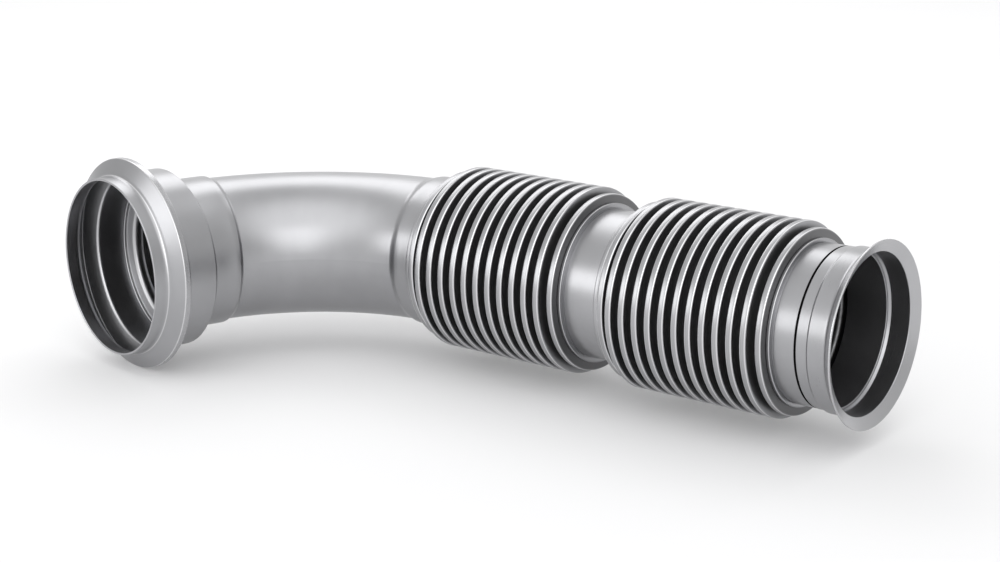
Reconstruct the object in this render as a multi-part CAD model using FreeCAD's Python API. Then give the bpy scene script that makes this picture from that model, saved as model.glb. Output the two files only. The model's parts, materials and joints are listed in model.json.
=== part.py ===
import FreeCAD, Part
import math
import os

from FreeCAD import Vector

# Exhaust flex pipe: a bent tube with two bellows in its straight leg.
# Millimetres. The origin is the centre of the outlet mouth. +X runs out of the outlet along the
# straight leg, +Z is the normal of the plane that the pipe bends in, and the bend turns towards -Y.
# "station" is a distance along the straight leg from the end of the bend. "depth" is a distance
# into the pipe from the inlet mouth. Radii are measured from the pipe's centre line.

# Tube line
tube_radius = 63.5
tube_wall = 1.65
slip_gap = 0.1
bend_radius = 190.5
bend_angle = 77.0
elbow_lead = 3.4
elbow_tail = 13.5
centre_tube_length = 44.2
outlet_tube_length = 35.7

# Bellows: full folds with one lower fold at each end
bellows_wall = 0.8
fold_height = 15.6
end_fold_height = 11.1
fold_pitch = 12.5
fold_count = 11
end_fold_pitch = 10.9
fold_width = 5.8
cuff_in_sleeve = 12.3
cuff_on_centre_inlet = 3.9
cuff_on_centre_outlet = 7.8
cuff_on_outlet = 4.7

# Sleeve between the elbow's tail and the first bellows
sleeve_wall = 1.8
sleeve_full_angle = 3.9
sleeve_taper_angle = 3.3
taper_edge = 0.7

# Collars: a wide one before each bellows and a narrow one after it
wide_collar_rise = 6.5
wide_collar_width = 4.5
wide_collar_setback = 2.7
narrow_collar_rise = 4.5
narrow_collar_width = 3.0
narrow_collar_setback = 0.2
collar_edge = 0.6

# Outlet sleeve and V-shaped outlet flange
outlet_sleeve_wall = 1.3
outlet_sleeve_length = 18.1
seam_gap = 0.2
flange_gap = 1.5
spigot_wall = 1.5
spigot_length = 9.2
joggle_length = 1.6
outlet_body_wall = 1.6
outlet_bore_step = 1.5
bore_step_length = 2.0
outlet_body_length = 25.8
flare_rise = 8.7
flare_length = 8.0
rim_land = 1.7
dish_depth = 5.1

# Inlet flange: lip, cone, ridge, back slope and collar of one sheet
inlet_wall = 2.0
lip_drop = 1.0
lip_length = 10.3
ridge_rise = 14.2
cone_length = 9.9
ridge_length = 5.4
back_slope_length = 9.7
inlet_collar_length = 24.3
ridge_bend = 0.6
lip_bend = 4.0
collar_bend = 4.0

# Inlet reducer: cup in the flange's collar, necked down onto the elbow tube
cup_wall = 2.4
cup_rise = 12.7
cup_overlap = 2.0
cup_reveal = 2.8
cup_face_slope = 1.5
cup_bend = 1.0
neck_bend = 2.1
neck_lead = 11.0
neck_full_angle = 8.4
neck_taper_angle = 1.5

# Radii that follow from the tube
bore_radius = tube_radius - tube_wall
seat_radius = tube_radius + slip_gap
cuff_radius = seat_radius + bellows_wall
cuff_seat_radius = cuff_radius + slip_gap
sleeve_radius = cuff_seat_radius + sleeve_wall
neck_radius = seat_radius + cup_wall
crest_radius = cuff_radius + fold_height
end_crest_radius = cuff_radius + end_fold_height
wide_collar_radius = tube_radius + wide_collar_rise
narrow_collar_radius = tube_radius + narrow_collar_rise
cup_radius = seat_radius + cup_rise
inlet_collar_radius = cup_radius + slip_gap + inlet_wall
lip_radius = inlet_collar_radius - lip_drop
ridge_radius = inlet_collar_radius + ridge_rise

# Stations along the straight leg
fold_run = (fold_count - 1) * fold_pitch + 2 * end_fold_pitch + fold_width
bellows_1_start = elbow_tail
bellows_1_end = bellows_1_start + fold_run
bellows_2_start = bellows_1_end + centre_tube_length
bellows_2_end = bellows_2_start + fold_run
outlet_tube_end = bellows_2_end + outlet_tube_length
outlet_sleeve_start = bellows_2_end + cuff_on_outlet + seam_gap
outlet_flange_start = outlet_sleeve_start + outlet_sleeve_length + flange_gap
outlet_flare_start = outlet_flange_start + outlet_body_length
straight_length = outlet_flare_start + flare_length + rim_land

# Depths from the inlet mouth
inlet_ridge_start = lip_length + cone_length
inlet_ridge_end = inlet_ridge_start + ridge_length
inlet_collar_start = inlet_ridge_end + back_slope_length
inlet_collar_end = inlet_collar_start + inlet_collar_length
cup_start = inlet_collar_end - cup_overlap
cup_end = inlet_collar_end + cup_reveal
inlet_length = cup_end + neck_lead

UP = Vector(0, 0, 1)
BEND_END = Vector(-straight_length, 0, 0)
BEND_CENTRE = BEND_END - Vector(0, bend_radius, 0)


def bend_point(angle):
    """Centre-line point that many degrees back along the bend from its end."""
    turn = math.radians(angle)
    return BEND_CENTRE + Vector(-math.sin(turn), math.cos(turn), 0) * bend_radius


def bend_direction(angle):
    """Direction of flow at that point of the bend."""
    turn = math.radians(angle)
    return Vector(math.cos(turn), math.sin(turn), 0)


INLET_DIRECTION = bend_direction(bend_angle)
INLET_MOUTH = bend_point(bend_angle) - INLET_DIRECTION * inlet_length
STRAIGHT = (BEND_END, Vector(1, 0, 0))
INLET = (INLET_MOUTH, INLET_DIRECTION)


def heading(start, end):
    """Unit vector between two (along, radius, rounding) corners."""
    step = Vector(end[0] - start[0], end[1] - start[1], 0)
    return step / step.Length


def thickened(path, wall):
    """Closed corners of a bent sheet from its outer side. Each third value is an inside bend."""
    outer = []
    inner = []
    for i, (along, radius, inside_bend) in enumerate(path):
        before = heading(path[max(i - 1, 0)], path[max(i, 1)])
        after = heading(path[min(i, len(path) - 2)], path[min(i + 1, len(path) - 1)])
        normal_before = Vector(before.y, -before.x, 0)
        normal_after = Vector(after.y, -after.x, 0)
        shift = (normal_before + normal_after) * (wall / (1 + normal_before.dot(normal_after)))
        turns_out = before.cross(after).z > 0
        bent = inside_bend > 0
        outer.append((along, radius, inside_bend + (0 if turns_out or not bent else wall)))
        inner.append((along + shift.x, radius + shift.y, inside_bend + (wall if turns_out and bent else 0)))
    return outer + inner[::-1]


def profile_face(line, corners):
    """Face in the half plane above the line's axis, with each corner rounded by a tangent arc."""
    origin, direction = line

    def placed(point):
        return origin + direction * point.x + UP * point.y

    edges = []
    stretches = []
    for i, (along, radius, rounding) in enumerate(corners):
        corner = Vector(along, radius, 0)
        after = corners[(i + 1) % len(corners)]
        arrive = heading(corners[i - 1], corners[i])
        leave = heading(corners[i], after)
        half_turn = arrive.getAngle(leave) / 2
        cut = rounding * math.tan(half_turn)
        start = corner - arrive * cut
        end = corner + leave * cut
        stretches.append((start, end))
        if cut > 0.001:
            to_centre = leave - arrive
            to_centre.normalize()
            middle = corner + to_centre * (rounding / math.cos(half_turn) - rounding)
            edges.append(Part.Arc(placed(start), placed(middle), placed(end)).toShape())
    for i, (start, end) in enumerate(stretches):
        next_start = stretches[(i + 1) % len(stretches)][0]
        if end.distanceToPoint(next_start) > 0.001:
            edges.append(Part.makeLine(placed(end), placed(next_start)))
    return Part.Face(Part.Wire(Part.__sortEdges__(edges)))


def turned(line, corners):
    """Solid of revolution about the line's axis."""
    origin, direction = line
    return profile_face(line, corners).revolve(origin, direction, 360)


def ring(line, start, end, inner_radius, outer_radius, edge=0.0):
    """Plain ring or tube, with its two outer edges bevelled."""
    corners = [
        (start, inner_radius, 0),
        (start, outer_radius - edge, 0),
        (start + edge, outer_radius, 0),
        (end - edge, outer_radius, 0),
        (end, outer_radius - edge, 0),
        (end, inner_radius, 0),
    ]
    if edge == 0:
        corners = [corners[0], corners[1], corners[4], corners[5]]
    return turned(line, corners)


def disc(angle, radius):
    """Round face across the bend."""
    circle = Part.Edge(Part.Circle(bend_point(angle), bend_direction(angle), radius))
    return Part.Face(Part.Wire([circle]))


def bent_rod(start_angle, end_angle, radius):
    """Solid round bar along the bend, from a larger angle to a smaller one."""
    return disc(start_angle, radius).revolve(BEND_CENTRE, -UP, start_angle - end_angle)


def bent_ring(start_angle, end_angle, inner_radius, outer_radius):
    """Tube wall along the bend."""
    wall = disc(start_angle, outer_radius).cut(disc(start_angle, inner_radius))
    return wall.Faces[0].revolve(BEND_CENTRE, -UP, start_angle - end_angle)


def bent_taper(start_angle, end_angle, inner_radius, start_radius, end_radius):
    """Tube wall along a short stretch of the bend whose outside tapers."""
    ends = [
        disc(start_angle, start_radius).OuterWire,
        disc(end_angle, end_radius).OuterWire,
    ]
    outside = Part.makeLoft(ends, True, True)
    return outside.cut(bent_rod(start_angle + 1, end_angle - 1, inner_radius))


def joined(pieces):
    """One solid from pieces that meet face to face."""
    whole = pieces[0].fuse(pieces[1:]).removeSplitter()
    return whole.Solids[0]


def inlet_flange():
    path = [
        (0, lip_radius, 0),
        (lip_length, lip_radius, lip_bend),
        (inlet_ridge_start, ridge_radius, ridge_bend),
        (inlet_ridge_end, ridge_radius, ridge_bend),
        (inlet_collar_start, inlet_collar_radius, collar_bend),
        (inlet_collar_end, inlet_collar_radius, 0),
    ]
    return turned(INLET, thickened(path, inlet_wall))


def inlet_reducer():
    path = [
        (cup_start, cup_radius, 0),
        (cup_end, cup_radius, cup_bend),
        (cup_end + cup_face_slope, neck_radius, neck_bend),
        (inlet_length, neck_radius, 0),
    ]
    cup = turned(INLET, thickened(path, cup_wall))
    full_end = bend_angle - neck_full_angle
    neck = bent_ring(bend_angle, full_end, seat_radius, neck_radius)
    edge_radius = seat_radius + taper_edge
    taper = bent_taper(full_end, full_end - neck_taper_angle, seat_radius, neck_radius, edge_radius)
    return joined([cup, neck, taper])


def elbow_tube():
    lead = ring(INLET, inlet_length - elbow_lead, inlet_length, bore_radius, tube_radius)
    bend = bent_ring(bend_angle, 0, bore_radius, tube_radius)
    tail = ring(STRAIGHT, 0, elbow_tail, bore_radius, tube_radius)
    return joined([lead, bend, tail])


def bellows_1_inlet_sleeve():
    full_start = sleeve_full_angle
    edge_radius = seat_radius + taper_edge
    taper_start = full_start + sleeve_taper_angle
    taper = bent_taper(taper_start, full_start, seat_radius, edge_radius, sleeve_radius)
    bend = bent_ring(full_start, 0, seat_radius, sleeve_radius)
    cuff_end = bellows_1_start - cuff_in_sleeve - slip_gap
    sleeve_end = bellows_1_start - wide_collar_setback
    corners = [
        (0, seat_radius, 0),
        (0, sleeve_radius, 0),
        (sleeve_end, sleeve_radius, 0),
        (sleeve_end, cuff_seat_radius, 0),
        (cuff_end, cuff_seat_radius, 0),
        (cuff_end, seat_radius, 0),
    ]
    return joined([taper, bend, turned(STRAIGHT, corners)])


def bellows(start, inlet_cuff, outlet_cuff):
    """Thin wall folded square between two plain cuffs, from just outside its first fold."""
    first = start + fold_width / 2
    crests = [(first, end_crest_radius)]
    for fold in range(fold_count):
        crests.append((first + end_fold_pitch + fold * fold_pitch, crest_radius))
    last = crests[-1][0] + end_fold_pitch
    crests.append((last, end_crest_radius))
    end = last + fold_width / 2 + outlet_cuff
    outer = [(start - inlet_cuff, cuff_radius, 0)]
    inner = [(start - inlet_cuff, seat_radius, 0)]
    for along, radius in crests:
        for side in (-1, 1):
            outer_flank = along + side * fold_width / 2
            inner_flank = outer_flank - side * bellows_wall
            heights = [(cuff_radius, seat_radius), (radius, radius - bellows_wall)]
            for outer_height, inner_height in heights[::-side]:
                outer.append((outer_flank, outer_height, 0))
                inner.append((inner_flank, inner_height, 0))
    outer.append((end, cuff_radius, 0))
    inner.append((end, seat_radius, 0))
    return turned(STRAIGHT, outer + inner[::-1])


def wide_collar(bellows_start, inner_radius):
    end = bellows_start - wide_collar_setback
    start = end - wide_collar_width
    return ring(STRAIGHT, start, end, inner_radius, wide_collar_radius, collar_edge)


def narrow_collar(bellows_end):
    start = bellows_end + narrow_collar_setback
    end = start + narrow_collar_width
    return ring(STRAIGHT, start, end, cuff_seat_radius, narrow_collar_radius, collar_edge)


def outlet_flange():
    spigot_radius = seat_radius + spigot_wall
    bore = seat_radius + outlet_bore_step
    body_radius = bore + outlet_body_wall
    joggle_start = outlet_flange_start + spigot_length
    step_start = outlet_tube_end + slip_gap
    rim_radius = body_radius + flare_rise
    rim_start = outlet_flare_start + flare_length
    corners = [
        (outlet_flange_start, seat_radius, 0),
        (outlet_flange_start, spigot_radius, 0.4),
        (joggle_start, spigot_radius, 0.8),
        (joggle_start + joggle_length, body_radius, 0.8),
        (outlet_flare_start, body_radius, 1.5),
        (rim_start, rim_radius, 0.5),
        (straight_length, rim_radius, 0.5),
        (straight_length - dish_depth, bore, 0.8),
        (step_start + bore_step_length, bore, 0.5),
        (step_start, seat_radius, 0),
    ]
    return turned(STRAIGHT, corners)


NODES = {
    "inlet_flange": inlet_flange(),
    "inlet_reducer": inlet_reducer(),
    "elbow_tube": elbow_tube(),
    "bellows_1_inlet_sleeve": bellows_1_inlet_sleeve(),
    "bellows_1_inlet_collar": wide_collar(bellows_1_start, sleeve_radius + slip_gap),
    "bellows_1": bellows(bellows_1_start, cuff_in_sleeve, cuff_on_centre_inlet),
    "bellows_1_outlet_collar": narrow_collar(bellows_1_end),
    "centre_tube": ring(STRAIGHT, bellows_1_end, bellows_2_start, bore_radius, tube_radius),
    "bellows_2_inlet_collar": wide_collar(bellows_2_start, cuff_seat_radius),
    "bellows_2": bellows(bellows_2_start, cuff_on_centre_outlet, cuff_on_outlet),
    "bellows_2_outlet_collar": narrow_collar(bellows_2_end),
    "outlet_sleeve": ring(
        STRAIGHT,
        outlet_sleeve_start,
        outlet_sleeve_start + outlet_sleeve_length,
        seat_radius,
        seat_radius + outlet_sleeve_wall,
    ),
    "outlet_tube": ring(STRAIGHT, bellows_2_end, outlet_tube_end, bore_radius, tube_radius),
    "outlet_flange": outlet_flange(),
}

os.makedirs("parts", exist_ok=True)
for name, solid in NODES.items():
    solid.exportStep(f"parts/{name}.step")
    print(name, solid.ShapeType, solid.isValid(), round(solid.Volume))
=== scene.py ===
# %% [markdown]
# # Exhaust flex pipe
# A bent stainless pipe with two bellows in its straight leg and a formed flange at each mouth.
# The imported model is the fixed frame, and everything below dresses it. Lengths are in metres, and
# MM turns a size in millimetres into them. +X runs out of the outlet along the straight leg, and
# +Z points up from the plane that the pipe bends in.

# %% Frame
import json
import math

import bpy
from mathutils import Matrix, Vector

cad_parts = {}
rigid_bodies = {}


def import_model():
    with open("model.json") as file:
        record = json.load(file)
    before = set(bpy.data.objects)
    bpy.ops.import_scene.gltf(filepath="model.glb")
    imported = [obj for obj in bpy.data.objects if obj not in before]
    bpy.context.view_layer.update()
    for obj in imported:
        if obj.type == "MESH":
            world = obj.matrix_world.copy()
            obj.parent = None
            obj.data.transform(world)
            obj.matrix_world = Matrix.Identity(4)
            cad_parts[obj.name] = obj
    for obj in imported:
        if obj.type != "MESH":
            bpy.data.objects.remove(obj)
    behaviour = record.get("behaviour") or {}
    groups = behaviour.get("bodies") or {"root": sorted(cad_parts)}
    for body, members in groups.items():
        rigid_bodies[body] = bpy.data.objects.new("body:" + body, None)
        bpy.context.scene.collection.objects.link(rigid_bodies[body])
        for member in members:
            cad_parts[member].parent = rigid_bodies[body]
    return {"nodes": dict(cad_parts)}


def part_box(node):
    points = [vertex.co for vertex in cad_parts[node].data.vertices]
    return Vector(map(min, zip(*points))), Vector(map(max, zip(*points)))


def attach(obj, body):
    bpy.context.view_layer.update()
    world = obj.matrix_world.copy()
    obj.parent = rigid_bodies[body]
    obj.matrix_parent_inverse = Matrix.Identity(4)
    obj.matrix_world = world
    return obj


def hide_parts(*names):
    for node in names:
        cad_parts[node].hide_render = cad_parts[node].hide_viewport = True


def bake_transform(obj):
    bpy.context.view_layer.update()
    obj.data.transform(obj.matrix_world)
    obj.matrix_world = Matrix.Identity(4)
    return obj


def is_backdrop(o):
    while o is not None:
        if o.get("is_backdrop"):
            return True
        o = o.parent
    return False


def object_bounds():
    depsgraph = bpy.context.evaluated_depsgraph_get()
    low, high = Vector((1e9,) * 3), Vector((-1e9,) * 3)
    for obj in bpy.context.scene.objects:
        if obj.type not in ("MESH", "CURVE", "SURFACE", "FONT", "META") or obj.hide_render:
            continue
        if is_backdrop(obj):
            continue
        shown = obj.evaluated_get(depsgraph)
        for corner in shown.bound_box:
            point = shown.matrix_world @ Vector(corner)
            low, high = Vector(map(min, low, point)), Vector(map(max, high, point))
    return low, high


MM = 0.001

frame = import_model()
nodes = frame["nodes"]
cad_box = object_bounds()
print(len(nodes), "nodes between", [round(value, 3) for corner in cad_box for value in corner])

# %% [markdown]
# ## Camera
# The photo looks at both mouths at once: from the front, a little above and from the outlet's side,
# with a long lens. The camera could be turned by eye, but this place and lens come from fitting the
# tube, the rims and the folds, so every ring falls where the photo has it.

# %% Camera
CAMERA_PLACE = Vector((0.7258, -1.4313, 0.4743))
CAMERA_BACKWARD = Vector((0.5855, -0.7668, 0.2632))
CAMERA_LENS = 76.8
CAMERA_SENSOR = 36

bpy.ops.object.select_all(action="DESELECT")
bpy.ops.object.camera_add(location=CAMERA_PLACE)
camera = bpy.context.object
camera.name = "photo_camera"
camera.rotation_euler = CAMERA_BACKWARD.to_track_quat("Z", "Y").to_euler()
camera.data.lens = CAMERA_LENS
camera.data.sensor_width = CAMERA_SENSOR
bpy.context.scene.camera = camera
print("camera looks from", [round(value, 3) for value in CAMERA_PLACE])

# %% [markdown]
# ## Node helpers
# Stage, world and steel are all built from nodes, so each kind that they share gets one short helper:
# sums, vector sums, taking a vector apart, putting one together, and mapping a range.


# %% Node helpers
def add_node(tree, kind, **settings):
    """A new node with its settings made."""
    node = tree.nodes.new(kind)
    for name, value in settings.items():
        setattr(node, name, value)
    return node


def math_node(tree, operation, first, second=None, clamp=False):
    """A Math node whose inputs are sockets or numbers. Returns its output."""
    node = add_node(tree, "ShaderNodeMath", operation=operation, use_clamp=clamp)
    for place, value in enumerate((first, second)):
        if isinstance(value, (int, float)):
            node.inputs[place].default_value = value
        elif value is not None:
            tree.links.new(value, node.inputs[place])
    return node.outputs[0]


def vector_math(tree, operation, first, second=None):
    """A Vector Math node whose second input is a socket or a vector. Returns its output."""
    node = add_node(tree, "ShaderNodeVectorMath", operation=operation)
    tree.links.new(first, node.inputs[0])
    if isinstance(second, bpy.types.NodeSocket):
        tree.links.new(second, node.inputs[1])
    elif second is not None:
        node.inputs[1].default_value = second
    return node.outputs["Value" if operation in ("DOT_PRODUCT", "LENGTH") else "Vector"]


def split_vector(tree, vector):
    """The X, Y and Z sockets of a vector."""
    node = add_node(tree, "ShaderNodeSeparateXYZ")
    tree.links.new(vector, node.inputs[0])
    return node.outputs


def joined_vector(tree, **axes):
    """A vector put together from sockets, with 0 on the axes that are left out."""
    node = add_node(tree, "ShaderNodeCombineXYZ")
    for axis, value in axes.items():
        tree.links.new(value, node.inputs[axis])
    return node.outputs[0]


def ramp(tree, value, low, high, to_low, to_high, smooth=False):
    """Maps a value from one range to another, and holds it at the ends."""
    node = add_node(tree, "ShaderNodeMapRange")
    if smooth:
        node.interpolation_type = "SMOOTHSTEP"
    for name, number in zip(("From Min", "From Max", "To Min", "To Max"), (low, high, to_low, to_high)):
        node.inputs[name].default_value = number
    tree.links.new(value, node.inputs["Value"])
    return node.outputs["Result"]


# %% [markdown]
# ## Stage
# The photo shows the pipe on plain white. A sheet of pale paper lies under its lowest point and keeps
# its soft shadow. More lamps could make the paper white, but they would burn out the steel, so the
# paper glows a little instead, only for the camera and for what mirrors it.

# %% Floor
FLOOR_SIZE = 20
FLOOR_MIDDLE = -0.3
PAPER_COLOR = (0.67, 0.67, 0.675)
PAPER_ROUGHNESS = 0.9
PAPER_GLOW = 0.14

bpy.ops.object.select_all(action="DESELECT")
bpy.ops.mesh.primitive_plane_add(size=FLOOR_SIZE, location=(FLOOR_MIDDLE, 0, cad_box[0][2]))
floor = bpy.context.object
floor.name = "studio_floor"
floor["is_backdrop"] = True

paper = bpy.data.materials.new("white_paper")
paper.use_nodes = True
paper_tree = paper.node_tree
paper_shader = paper_tree.nodes["Principled BSDF"]
paper_shader.inputs["Base Color"].default_value = (*PAPER_COLOR, 1)
paper_shader.inputs["Roughness"].default_value = PAPER_ROUGHNESS
paper_shader.inputs["Emission Color"].default_value = (1, 1, 1, 1)
ray = add_node(paper_tree, "ShaderNodeLightPath").outputs
seen = math_node(paper_tree, "ADD", ray["Is Camera Ray"], ray["Is Glossy Ray"], clamp=True)
seen = math_node(paper_tree, "ADD", seen, ray["Is Transmission Ray"], clamp=True)
glow = math_node(paper_tree, "MULTIPLY", seen, PAPER_GLOW)
paper_tree.links.new(glow, paper_shader.inputs["Emission Strength"])
floor.data.materials.append(paper)
print("paper at", round(cad_box[0][2], 4))

# %% [markdown]
# ## Light
# Satin steel shows its form only where it mirrors light and dark side by side. The room is a plain
# white dome, a little dimmer overhead and at both its ends, with a soft glow high in front. Four
# softboxes stand in it: a tall one in front, one before the bend, one behind the pipe and a small one
# behind the outlet flange. A single lamp would leave the far flanks of the folds black.

# %% Room
# A range gives where a change starts and ends, and the brightness at both. The first runs over the
# height, and the others run over how far a direction leans to their side.
DIM_SIDE = Vector((0.966, 0.259, 0))
FAR_SIDE = Vector((-0.98, -0.15, 0.1))
GLOW_SIDE = Vector((0.413, -0.492, 0.766))
OVERHEAD_RANGE = (0.3, 0.95, 1.0, 0.88)
DIM_RANGE = (0.2, 0.9, 1.0, 0.72)
FAR_RANGE = (0.64, 0.95, 1.0, 0.7)
GLOW_RANGE = (0.64, 0.97, 0, 0.9)

world = bpy.data.worlds.new("studio_dome")
bpy.context.scene.world = world
world.use_nodes = True
dome_tree = world.node_tree
dome = dome_tree.nodes["Background"]
dome.inputs["Color"].default_value = (1, 1, 1, 1)
sky = add_node(dome_tree, "ShaderNodeTexCoord").outputs["Generated"]
brightness = ramp(dome_tree, split_vector(dome_tree, sky)["Z"], *OVERHEAD_RANGE)
for side, dim_range in ((DIM_SIDE, DIM_RANGE), (FAR_SIDE, FAR_RANGE)):
    toward = vector_math(dome_tree, "DOT_PRODUCT", sky, side)
    brightness = math_node(dome_tree, "MULTIPLY", brightness, ramp(dome_tree, toward, *dim_range))
toward = vector_math(dome_tree, "DOT_PRODUCT", sky, GLOW_SIDE)
glow = ramp(dome_tree, toward, *GLOW_RANGE, smooth=True)
dome_tree.links.new(math_node(dome_tree, "ADD", brightness, glow), dome.inputs["Strength"])
print("dome glows toward", [round(value, 2) for value in GLOW_SIDE])

# %% Softboxes
AIM = Vector((-0.3, -0.03, 0))


def softbox(name, compass, rise, distance, width, height, brightness):
    """A rectangular lamp that faces the pipe from a direction given in degrees, with its distance
    and sides in metres. A brightness of 1 looks as bright as a white wall of the dome."""
    turn = math.radians(compass)
    lift = math.radians(rise)
    level = math.cos(lift)
    way = Vector((level * math.cos(turn), level * math.sin(turn), math.sin(lift)))
    bpy.ops.object.select_all(action="DESELECT")
    bpy.ops.object.light_add(type="AREA", location=AIM + way * distance)
    lamp = bpy.context.object
    lamp.name = name
    lamp.rotation_euler = way.to_track_quat("Z", "Y").to_euler()
    lamp.data.shape = "RECTANGLE"
    lamp.data.size = width
    lamp.data.size_y = height
    lamp.data.energy = brightness * math.pi * width * height
    print(name, round(lamp.data.energy, 1), "W")


softbox("front_softbox", -47, 19, 2.8, 1.7, 2.0, 0.95)
softbox("bend_softbox", -125, 14, 2.6, 1.5, 1.1, 1.8)
softbox("back_softbox", 145, 44, 2.6, 2.0, 1.2, 1.75)
softbox("flange_softbox", 82, 50, 2.6, 1.0, 1.0, 1.1)

# %% [markdown]
# ## Sections
# Nearly every piece of the pipe is round: a section turned about a centre line. A lathe would cut it
# so, and Blender's Spin does the same. A section is a short list of corners, each one (along, radius,
# rounding), and a rounded corner becomes an arc that touches both its sides, as a folded edge does.

# %% Corners and arcs
ARC_STEP = math.radians(18)
HOLD = 0.35 * MM
TIGHT_BEND = 0.6 * MM


def rounded_corner(before, corner, after, hold):
    """Points of the arc at one corner. Hold adds a point on each side that keeps its shading short."""
    here = Vector(corner[:2])
    rounding = corner[2]
    if rounding == 0:
        return [here]
    back = Vector(before[:2]) - here
    ahead = Vector(after[:2]) - here
    half = back.angle(ahead) / 2
    cut = rounding / math.tan(half)
    centre = here + (back.normalized() + ahead.normalized()).normalized() * (rounding / math.sin(half))
    first = here + back.normalized() * cut - centre
    last = here + ahead.normalized() * cut - centre
    pieces = max(2, round((math.pi - 2 * half) / ARC_STEP))
    arc = [first.slerp(last, piece / pieces).normalized() for piece in range(pieces + 1)]
    points = [centre + spoke * rounding for spoke in arc]
    if hold and back.length > cut + 3 * HOLD:
        points.insert(0, here + back.normalized() * (cut + HOLD))
    if hold and ahead.length > cut + 3 * HOLD:
        points.append(here + ahead.normalized() * (cut + HOLD))
    return points


def section_points(corners, hold=True):
    """All points of a closed section."""
    points = []
    for place, corner in enumerate(corners):
        after = corners[(place + 1) % len(corners)]
        points += rounded_corner(corners[place - 1], corner, after, hold)
    return points


def sheet_corners(path, wall, edge):
    """Closed corners of a bent sheet from the path of its outer side. The inner side follows it at
    the sheet's thickness, and the two free edges are eased with a small rounding."""
    outer = []
    inner = []
    for place, (along, radius, bend) in enumerate(path):
        here = Vector((along, radius))
        before = (here - Vector(path[place - 1][:2])).normalized() if place > 0 else None
        after = (Vector(path[place + 1][:2]) - here).normalized() if place < len(path) - 1 else None
        before = before or after
        after = after or before
        normal_before = Vector((before.y, -before.x))
        normal_after = Vector((after.y, -after.x))
        shift = (normal_before + normal_after) * (wall / (1 + normal_before.dot(normal_after)))
        turns_out = before.cross(after) > 0
        free = place in (0, len(path) - 1)
        inner_bend = bend + wall if turns_out else max(bend - wall, TIGHT_BEND)
        outer.append((along, radius, edge if free else bend))
        inner.append((along + shift.x, radius + shift.y, edge if free else inner_bend))
    return outer + inner[::-1]


# %% [markdown]
# ## Lathe
# The section is drawn with a pen, which is one vertex extruded from point to point. The closed line
# is spun round the X axis, the last turn is welded to the first, and the normals are turned outwards.

# %% Lathe
ROUND_STEPS = 144
WELD = 0.01 * MM
SHARP_ANGLE = math.radians(40)


def pen_drawing(name, points):
    """Draws the closed line of a section as a new mesh, and leaves it in edit mode."""
    bpy.ops.object.select_all(action="DESELECT")
    bpy.ops.mesh.primitive_plane_add(size=MM, location=(0, 0, 0))
    drawing = bpy.context.object
    drawing.name = name
    drawing.data.name = name
    bpy.ops.object.mode_set(mode="EDIT")
    bpy.ops.mesh.select_all(action="SELECT")
    bpy.ops.mesh.merge(type="CENTER")
    bpy.ops.transform.translate(value=(points[0].x, 0, points[0].y))
    for here, there in zip(points, points[1:] + points[:1]):
        shift = (there.x - here.x, 0, there.y - here.y)
        bpy.ops.mesh.extrude_region_move(TRANSFORM_OT_translate={"value": shift})
    bpy.ops.mesh.select_all(action="SELECT")
    bpy.ops.mesh.remove_doubles(threshold=WELD)
    return drawing


def turned_piece(name, points):
    """A solid of revolution about the X axis."""
    drawing = pen_drawing(name, points)
    bpy.ops.mesh.select_all(action="SELECT")
    bpy.ops.mesh.spin(steps=ROUND_STEPS, angle=math.tau, center=(0, 0, 0), axis=(1, 0, 0))
    bpy.ops.mesh.select_all(action="SELECT")
    bpy.ops.mesh.remove_doubles(threshold=WELD)
    bpy.ops.mesh.normals_make_consistent(inside=False)
    bpy.ops.object.mode_set(mode="OBJECT")
    bpy.ops.object.shade_smooth_by_angle(angle=SHARP_ANGLE)
    print(name, len(drawing.data.polygons), "faces")
    return drawing


def select_only(piece, indices):
    """Selects some vertices of a mesh, and no other vertex, edge or face."""
    for polygon in piece.data.polygons:
        polygon.select = False
    for edge in piece.data.edges:
        edge.select = False
    for vertex in piece.data.vertices:
        vertex.select = False
    for index in indices:
        piece.data.vertices[index].select = True


def stands_for(piece, node, body):
    """The piece is shown in place of a CAD node and moves with its body."""
    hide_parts(node)
    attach(piece, body)


# %% [markdown]
# ## Bellows
# Each bellows is a thin tube folded into rings. Seen close, a fold is a U: a slightly flattened crest,
# two straight flanks and a round root. A displaced cylinder would blur them, so the wall is drawn
# fold by fold, outside first and then back along the inside. The second bellows is a copy of the
# first, moved along the pipe, with its plain cuffs pulled to their own lengths.

# %% Tube sizes
SLIP_GAP = 0.1 * MM
BELLOWS_WALL = 0.8 * MM
TUBE_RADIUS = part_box("centre_tube")[1].z
SEAT_RADIUS = TUBE_RADIUS + SLIP_GAP
CUFF_RADIUS = SEAT_RADIUS + BELLOWS_WALL
print("tube radius", round(TUBE_RADIUS, 4), "cuff radius", round(CUFF_RADIUS, 4))

# %% Fold sizes
FOLD_PITCH = 12.5 * MM
FOLD_COUNT = 11
END_FOLD_PITCH = 10.9 * MM
END_CREST_DROP = 4.5 * MM
FOLD_HALF = 2.9 * MM
CREST_ROUNDING = 1.5 * MM
FOOT_ROUNDING = 1.0 * MM
GAPS = [END_FOLD_PITCH] + [FOLD_PITCH] * (FOLD_COUNT - 1) + [END_FOLD_PITCH]
FOLD_RUN = sum(GAPS) + 2 * FOLD_HALF
CREST_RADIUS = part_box("bellows_1")[1].z
print("folds run", round(FOLD_RUN, 4), "and rise to", round(CREST_RADIUS, 4))


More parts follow.
